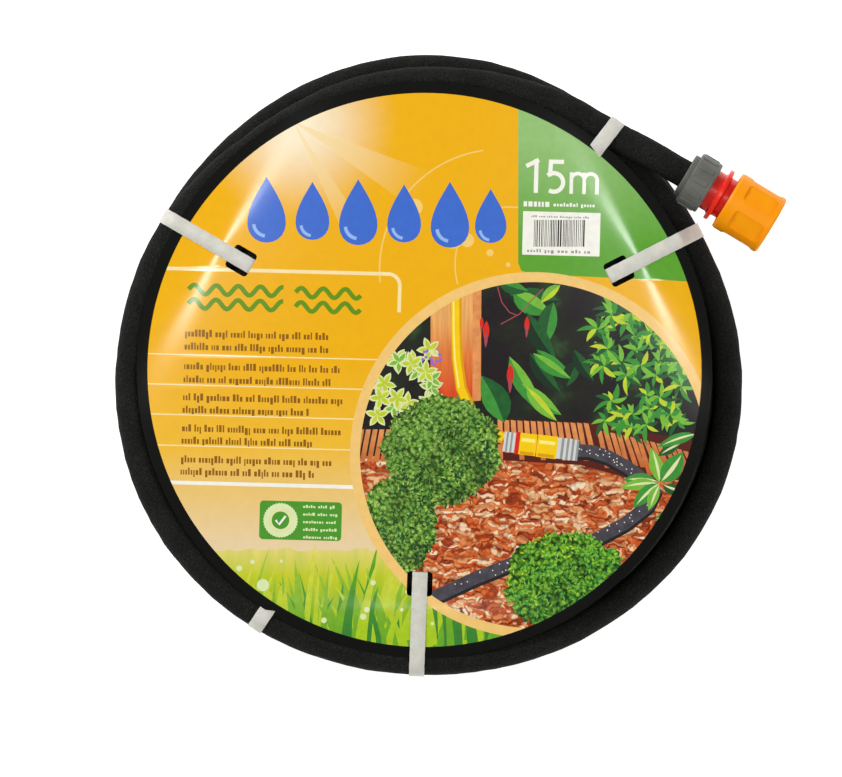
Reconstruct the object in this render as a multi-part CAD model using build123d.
"""Soaker hose pack: a 15 m porous rubber hose wound into a flat coil, strapped to a display card.

Millimetres, +Z up. The pack lies flat: the coil's axis is +Z, the card is on top, and the origin
is on the coil's axis at the floor. Angles are measured about +Z from +X.
"""

import os
from math import cos, pi, radians, sin, sqrt, tan

from build123d import *

# Hose
HOSE_OD = 16.5
HOSE_ID = 12.5
LAYERS = 4
COLUMNS = 4
HOSE_PITCH = 16.5

# Coil: a ring whose outline is pulled in where the three card straps hold it
COIL_R = 184.0
COIL_PULL = 3.2
PULL_ANGLES = (28.0, 148.0, 268.0)
COIL_WIDTH = COLUMNS * HOSE_PITCH
COIL_TOP = LAYERS * HOSE_PITCH + 0.7
COIL_FILLET = 8.0
LEDGE_Z = COIL_TOP - HOSE_PITCH - 0.1
TOP_LAYER_Z = COIL_TOP - HOSE_OD / 2
LOBE_SHIFT = 24.0

# Card
CARD_R = 169.6
CARD_CENTRE = (-1.6, -0.7)
CARD_Z = COIL_TOP + 0.6
CARD_T = 0.6
SLOT_W = 15.0
SLOT_R_IN = 119.6
SLOT_R_OUT = 134.0
SLOT_CORNER = 2.0

# Plastic straps
STRAP_W = 9.0
STRAP_T = 0.5
STRAP_SEAT_W = 9.6
CARD_STRAP_ANGLES = (27.0, 149.8, 268.0)
TIES = ((52.4, 0.7), (236.4, 0.0))  # angle, and how much further out it reaches to hold the tail

# Quick connector: its axis starts at the rear of the nut and points to the mouth
NUT_REAR = Vector(152.3, 115.0, TOP_LAYER_Z)
CONNECTOR_HEADING = -31.0
HOSE_INSERT = 13.0
NUT_LENGTH = 16.8
NUT_R = 16.2
NUT_RIB_R = 16.7
NUT_RIBS = 12
SKIRT_R = 12.5
BARREL_R = 12.6
FLANGE_R = 16.5
SOCKET_BORE_R = 8.1
RESTRICTOR_R = 7.58
SLEEVE_R = 18.3
SLEEVE_REAR = 29.2
SLEEVE_FRONT = 59.6
SLEEVE_PANELS = 6
JAWS = 4
JAW_REAR = 46.0
JAW_FRONT = 50.0
CAM_SLOPE = 0.25
CAM_R = 12.95
SPRING_REAR = 31.4
SPRING_FRONT = 41.9
SPRING_MEAN_R = 13.75
SPRING_WIRE = 1.0
SPRING_TURNS = 4

# Plug at the hose's far end
STOP_NUT_REAR = Vector(83.3, -26.4, 16.95)
STOP_HEADING = 58.0

# Routes of the hose's free stretches, from the coil outwards
TAIL_ROUTE = [
    (94.4, 145.6, TOP_LAYER_Z),
    (106.4, 138.1, TOP_LAYER_Z),
    (136.9, 124.3, TOP_LAYER_Z),
    (163.4, 108.3, TOP_LAYER_Z),
]
END_ROUTE = [
    (-112.3, 56.0, TOP_LAYER_Z),
    (-125.3, 7.7, TOP_LAYER_Z),
    (-109.8, -50.3, TOP_LAYER_Z),
    (-58.5, -90.3, TOP_LAYER_Z),
    (3.4, -95.7, 37.7),
    (58.4, -66.5, 16.95),
    (90.2, -15.4, 16.95),
]


def polar(radius, angle, z=0.0):
    return Vector(radius * cos(radians(angle)), radius * sin(radians(angle)), z)


def heading_vector(angle):
    return polar(1.0, angle)


def axis_plane(origin, heading):
    """A plane whose Z runs along a level heading and whose X points up."""
    return Plane(origin=origin, x_dir=(0, 0, 1), z_dir=heading_vector(heading))


def revolved(profile):
    """A solid of revolution about +Z from (radius, height) points."""
    face = make_face(Polyline(*[(r, 0, s) for r, s in profile], close=True))
    return revolve(face, Axis.Z, 360)


def tube_length(r_out, r_in, low, high):
    return Pos(0, 0, low) * (
        Cylinder(r_out, high - low, align=(Align.CENTER, Align.CENTER, Align.MIN))
        - Cylinder(r_in, high - low, align=(Align.CENTER, Align.CENTER, Align.MIN))
    )


def save(shape, node):
    export_step(shape, f"parts/{node}.step")
    box = shape.bounding_box()
    print(f"{node}: {len(shape.solids())} solid, {shape.volume:.0f} mm3, z {box.min.Z:.2f} to {box.max.Z:.2f}")


# ---------------------------------------------------------------- coil


def lobed_face(offset, z=0.0):
    """The coil's outline moved outwards by offset: a rounded three-lobed shape of six tangent arcs."""
    lobe_r = COIL_R + COIL_PULL - LOBE_SHIFT + offset
    flat_r = lobe_r + LOBE_SHIFT * sqrt(3)
    arcs = []
    for k in range(6):
        middle = PULL_ANGLES[0] + 60 + 60 * k
        is_lobe = k % 2 == 0
        centre = polar(LOBE_SHIFT, middle if is_lobe else middle + 180, z)
        radius = lobe_r if is_lobe else flat_r
        start = polar(radius, middle - 30) + centre
        half = polar(radius, middle) + centre
        end = polar(radius, middle + 30) + centre
        arcs.append(ThreePointArc(start, half, end))
    return make_face(arcs)


def coil_body(top):
    """The coil's full ring up to a height, rounded like the hose at its edges."""
    ring = extrude(lobed_face(0), top) - extrude(lobed_face(-COIL_WIDTH), top)
    ends = ring.faces().filter_by(Axis.Z)
    return fillet(ends.edges(), COIL_FILLET)


def sector(route_start, heading, end_angle, turn):
    """A tall wedge from the level cut through a hose's start round to an angle, turn being +1 or -1."""
    across = heading_vector(heading + 90 * turn)
    far = 2 * COIL_R
    start = Vector(route_start[0], route_start[1], 0)
    inner = start + across * start.length
    outer = start - across * far
    first = Vector(outer.X, outer.Y, 0)
    start_angle = first.get_signed_angle(Vector(1, 0, 0), Vector(0, 0, -1))
    span = (end_angle - start_angle) * turn % 360
    corners = [polar(far, start_angle + turn * span * f) for f in (0.33, 0.67, 1.0)]
    return extrude(make_face(Polyline(inner, outer, *corners, close=True)), 2 * COIL_TOP)


def ramp(low_angle, high_angle, radius):
    """The space over a turn that climbs one layer between two angles."""
    low = radius * tan(radians(low_angle - high_angle) / 2)
    profile = Polyline(
        (low, LEDGE_Z), (-low, COIL_TOP), (-low, COIL_TOP + 20), (low, COIL_TOP + 20), close=True
    )
    wedge = extrude(make_face(Plane.XZ * profile), COIL_R * 1.4, dir=(0, -1, 0))
    return Rot(0, 0, (low_angle + high_angle) / 2 + 90) * wedge


def ring_zone(r_in, r_out):
    return tube_length(r_out, r_in, 30, COIL_TOP + 10)


def hose_coil():
    """The wound hose as one solid, with the corners that its first and last turns leave empty."""
    body = coil_body(COIL_TOP)
    shoulder = coil_body(LEDGE_Z)
    outer_zone = ring_zone(165.0, 200.0)
    inner_zone = ring_zone(100.0, 134.2)
    outer_gap = outer_zone & sector(TAIL_ROUTE[0], -32.0, 335.0, -1)
    inner_gap = inner_zone & sector(END_ROUTE[0], -105.0, 275.0, 1)
    body -= outer_gap - shoulder
    body -= inner_gap - shoulder
    body -= outer_zone & ramp(335.0, 290.0, 176.0)
    body -= inner_zone & ramp(275.0, 335.0, 126.0)
    body -= axis_plane(NUT_REAR, CONNECTOR_HEADING) * tube_length(NUT_RIB_R + 0.5, 0.01, -9, 20)
    for angle in CARD_STRAP_ANGLES:
        body -= strap_seat(card_strap_loop(angle), angle)
    for angle, reach in TIES:
        body -= strap_seat(tie_loop(angle, reach), angle)
    return body


def hose_tube(route, name):
    """A bare stretch of hose: straight runs joined by the largest tangent arcs that fit."""
    points = [Vector(*p) for p in route]
    runs = [b - a for a, b in zip(points, points[1:])]
    radii = []
    for a, b in zip(runs, runs[1:]):
        half_turn = radians(a.get_angle(b)) / 2
        radii.append(0.45 * min(a.length, b.length) / tan(half_turn))
    print(name, "bend radii", [round(r) for r in radii])
    path = FilletPolyline(*points, radius=radii)
    start = Plane(origin=points[0], z_dir=runs[0])
    section = start * (Circle(HOSE_OD / 2) - Circle(HOSE_ID / 2))
    tube = sweep(section, path=path)
    area = pi / 4 * (HOSE_OD**2 - HOSE_ID**2)
    print(name, f"length {path.length:.1f}, volume ratio {tube.volume / (area * path.length):.4f}")
    return tube


# ---------------------------------------------------------------- straps and card


def outline_radius(angle):
    """How far the coil's outline is from its axis at an angle."""
    return COIL_R - COIL_PULL * cos(radians(3 * (angle - PULL_ANGLES[0])))


def loop_path(corners):
    """A closed loop in the radial plane from (radius, height, corner radius) points."""
    points = [(r, z) for r, z, _ in corners]
    return make_face(FilletPolyline(*points, radius=[c for _, _, c in corners], close=True))


def tie_loop(angle, reach):
    """Inside of a tie that holds the bundle under the card."""
    outer = outline_radius(angle) + 0.1 + reach
    inner = outline_radius(angle) - COIL_WIDTH - 0.15
    top = COIL_TOP + 0.05
    return loop_path([
        (inner, 4.6, 3), (inner + 4, 0.55, 3), (outer - 4, 0.55, 3), (outer, 4.6, 3),
        (outer, top - 5, 5), (outer - 5, top, 5), (inner + 5, top, 5), (inner, top - 5, 5),
    ])


def card_strap_loop(angle):
    """Inside of a strap that comes up through the card's slot and goes over its edge."""
    outer = outline_radius(angle) + 0.1
    inner = outline_radius(angle) - COIL_WIDTH - 0.15
    slot = SLOT_R_IN + 1.0
    over_card = CARD_Z + CARD_T + 0.05
    return loop_path([
        (inner, 4.6, 3), (inner + 4, 0.55, 3), (outer - 4, 0.55, 3), (outer, 4.6, 3),
        (outer, COIL_TOP - 5.2, 3), (outer - 3.4, COIL_TOP - 0.4, 3), (CARD_R + 1.0, over_card, 3),
        (slot, over_card, 0.3), (slot, COIL_TOP - 0.2, 0.3), (slot - 2.3, COIL_TOP - 0.4, 1),
        (inner, COIL_TOP - 4.2, 3),
    ])


def radial_slab(face, width, angle):
    """A face drawn in the radial plane, thickened evenly about it and turned to its angle."""
    slab = extrude(Plane.XZ * face, width / 2, both=True)
    return Rot(0, 0, angle) * slab


def strap(loop, angle):
    band = offset(loop, STRAP_T, kind=Kind.ARC) - loop
    return radial_slab(band, STRAP_W, angle)


def strap_seat(loop, angle):
    """What the coil gives up so that a strap lies tight on it."""
    around = Pos(150, 33) * Rectangle(110, 90) - loop
    return radial_slab(around, STRAP_SEAT_W, angle)


def display_card():
    card = Pos(*CARD_CENTRE, CARD_Z) * Cylinder(
        CARD_R, CARD_T, align=(Align.CENTER, Align.CENTER, Align.MIN)
    )
    slot = extrude(RectangleRounded(SLOT_R_OUT - SLOT_R_IN, SLOT_W, SLOT_CORNER), 4 * CARD_T, both=True)
    middle = (SLOT_R_IN + SLOT_R_OUT) / 2
    for angle in CARD_STRAP_ANGLES:
        card -= Rot(0, 0, angle) * Pos(middle, 0, CARD_Z) * slot
    return card


# ---------------------------------------------------------------- fittings, modelled along +Z


def barbed_spigot_profile():
    """The outside of the spigot inside the hose, from its tip towards the base wall."""
    points = [(4.25, 1.0), (5.6, 1.0)]
    for k in range(3):
        low = 1.0 + 3.6 * k
        points += [(6.5, low + 2.6), (6.5, low + 3.0), (6.0, low + 3.2)]
    return points + [(6.0, HOSE_INSERT)]


def connector_body():
    """Spigot, threaded skirt, finger flange, barrel and tap socket in one moulding."""
    outside = [
        (10.75, HOSE_INSERT), (10.75, 5.0), (SKIRT_R, 5.0), (SKIRT_R, 16.0), (BARREL_R, 17.0),
        (BARREL_R, 21.2), (13.4, 22.2), (FLANGE_R - 0.4, 22.2), (FLANGE_R, 22.6), (FLANGE_R, 24.4),
        (FLANGE_R - 0.4, 24.8), (13.4, 24.8), (BARREL_R, 25.8), (BARREL_R, 30.0), (14.4, 30.0),
        (14.4, 31.2), (BARREL_R, 31.2), (BARREL_R, 55.3), (15.5, 55.3), (15.5, 56.9), (15.0, 57.4),
        (13.0, 57.4), (12.4, 58.0),
    ]
    inside = [
        (10.3, 58.0), (9.3, 56.6), (9.3, 45.0), (SOCKET_BORE_R, 44.0), (SOCKET_BORE_R, 33.0),
        (RESTRICTOR_R + 0.02, 32.6), (RESTRICTOR_R + 0.02, 31.0), (4.25, 29.6),
    ]
    body = revolved(barbed_spigot_profile() + outside + inside)
    window = Pos(11, 0, (JAW_REAR + JAW_FRONT) / 2) * Box(8, 5.8, JAW_FRONT - JAW_REAR + 0.7)
    for k in range(JAWS):
        body -= Rot(0, 0, 45 + 360 / JAWS * k) * window
    return body


def nut(length=NUT_LENGTH):
    """Gland nut: a smooth rear collar, a ribbed grip and a smooth front collar."""
    body = revolved([
        (8.8, 0.0), (12.9, 0.0), (13.4, 0.5), (13.4, 3.2), (NUT_R - 0.5, 3.2), (NUT_R, 3.7),
        (NUT_R, length - 0.6), (NUT_R - 0.6, length), (12.85, length), (12.85, 3.2), (8.8, 2.2),
    ])
    rib_length = length - 6.6
    blank = extrude(SlotOverall(rib_length, 3.4), 2.0)
    blank = fillet(blank.faces().sort_by(Axis.Z)[-1].edges(), 0.3)
    rib = Pos(NUT_RIB_R - 2.0, 0, 4.2 + rib_length / 2) * Rot(0, 90, 0) * blank
    for k in range(NUT_RIBS):
        body += Rot(0, 0, 360 / NUT_RIBS * k) * rib
    return body


def collet():
    """Split gripping ring that the nut squeezes round the hose."""
    ring = revolved([
        (8.6, 3.0), (9.0, 2.65), (11.6, 3.6), (11.9, 4.6), (10.4, 4.6), (10.4, 11.2), (9.6, 12.2), (8.6, 12.2),
    ])
    slit = Pos(10, 0, 9.6) * Box(6, 1.0, 6)
    for k in range(8):
        ring -= Rot(0, 0, 45 * k) * slit
    return ring


def sleeve():
    """Sliding release sleeve with a cam face for the jaws and six recessed grip panels."""
    cam_end_r = CAM_R + CAM_SLOPE * (54.6 - JAW_REAR)
    body = revolved([
        (14.8, SLEEVE_REAR), (17.6, SLEEVE_REAR), (SLEEVE_R, 30.6), (SLEEVE_R, 58.4), (17.3, SLEEVE_FRONT),
        (15.9, SLEEVE_FRONT), (15.9, 55.0), (cam_end_r, 55.0), (cam_end_r, 54.6),
        (CAM_R, JAW_REAR), (CAM_R, 42.2), (14.8, 42.2),
    ])
    panel = extrude(RectangleRounded(20.0, 12.4, 3.0), 3.0)
    cut = Pos(SLEEVE_R - 1.25, 0, 46.2) * Rot(0, 90, 0) * panel
    for k in range(SLEEVE_PANELS):
        body -= Rot(0, 0, 30 + 360 / SLEEVE_PANELS * k) * cut
    return body


def jaw(index):
    """A tooth in the barrel's window, with a sloping back that rides on the sleeve's cam."""
    back = BARREL_R - 0.05
    wedge = revolved([
        (8.5, 47.0), (9.0, JAW_REAR), (back, JAW_REAR), (back + CAM_SLOPE * 4, JAW_FRONT), (9.4, JAW_FRONT),
        (8.5, 48.2),
    ])
    block = Pos(11, 0, 48) * Box(8, 5.0, 8)
    return Rot(0, 0, 45 + 360 / JAWS * index) * (wedge & block)


def spring():
    """Return spring of the sleeve, with its ends clear of both seats."""
    low = SPRING_REAR + SPRING_WIRE / 2
    height = SPRING_FRONT - SPRING_REAR - SPRING_WIRE
    path = Pos(0, 0, low) * Helix(pitch=height / SPRING_TURNS, height=height, radius=SPRING_MEAN_R)
    section = Plane(origin=path @ 0, z_dir=path % 0) * Circle(SPRING_WIRE / 2)
    return sweep(section, path=path, is_frenet=True)


def flow_restrictor():
    """Disc with a small hole that keeps the pressure in a porous hose low."""
    disc = tube_length(RESTRICTOR_R, 1.0, 31.05, 32.4)
    return fillet(disc.edges().group_by(Axis.Z)[-1].sort_by(SortBy.RADIUS)[-1], 0.3)


def end_plug():
    """Closed fitting at the hose's far end: spigot, threaded skirt and a domed cap."""
    body = revolved([
        (0.0, 3.4), (3.0, 3.4), (3.0, 1.0),
        *barbed_spigot_profile()[1:],
        (10.75, HOSE_INSERT), (10.75, 5.0), (SKIRT_R, 5.0), (SKIRT_R, 16.0), (BARREL_R, 17.0),
        (BARREL_R, 19.0), (14.6, 19.6), (14.6, 21.4), (14.0, 22.0), (10.4, 22.0), (9.6, 26.4),
        (7.6, 28.0), (0.0, 28.0),
    ])
    return body


def main():
    os.makedirs("parts", exist_ok=True)
    save(hose_coil(), "hose_coil")
    save(hose_tube(TAIL_ROUTE, "hose_tail"), "hose_tail")
    save(hose_tube(END_ROUTE, "hose_end_run"), "hose_end_run")
    save(display_card(), "display_card")
    for k, angle in enumerate(CARD_STRAP_ANGLES, 1):
        save(strap(card_strap_loop(angle), angle), f"card_strap_{k}")
    for k, (angle, reach) in enumerate(TIES, 1):
        save(strap(tie_loop(angle, reach), angle), f"coil_tie_{k}")
    connector = axis_plane(NUT_REAR, CONNECTOR_HEADING)
    fittings = {
        "connector_nut": nut(),
        "connector_collet": collet(),
        "connector_body": connector_body(),
        "connector_sleeve": sleeve(),
        "connector_spring": spring(),
        "flow_restrictor": flow_restrictor(),
    }
    for k in range(JAWS):
        fittings[f"connector_jaw_{k + 1}"] = jaw(k)
    for node, shape in fittings.items():
        save(connector * shape, node)
    stop = axis_plane(STOP_NUT_REAR, STOP_HEADING)
    for node, shape in {"end_stop_nut": nut(), "end_stop_collet": collet(), "end_stop_plug": end_plug()}.items():
        save(stop * shape, node)


main()
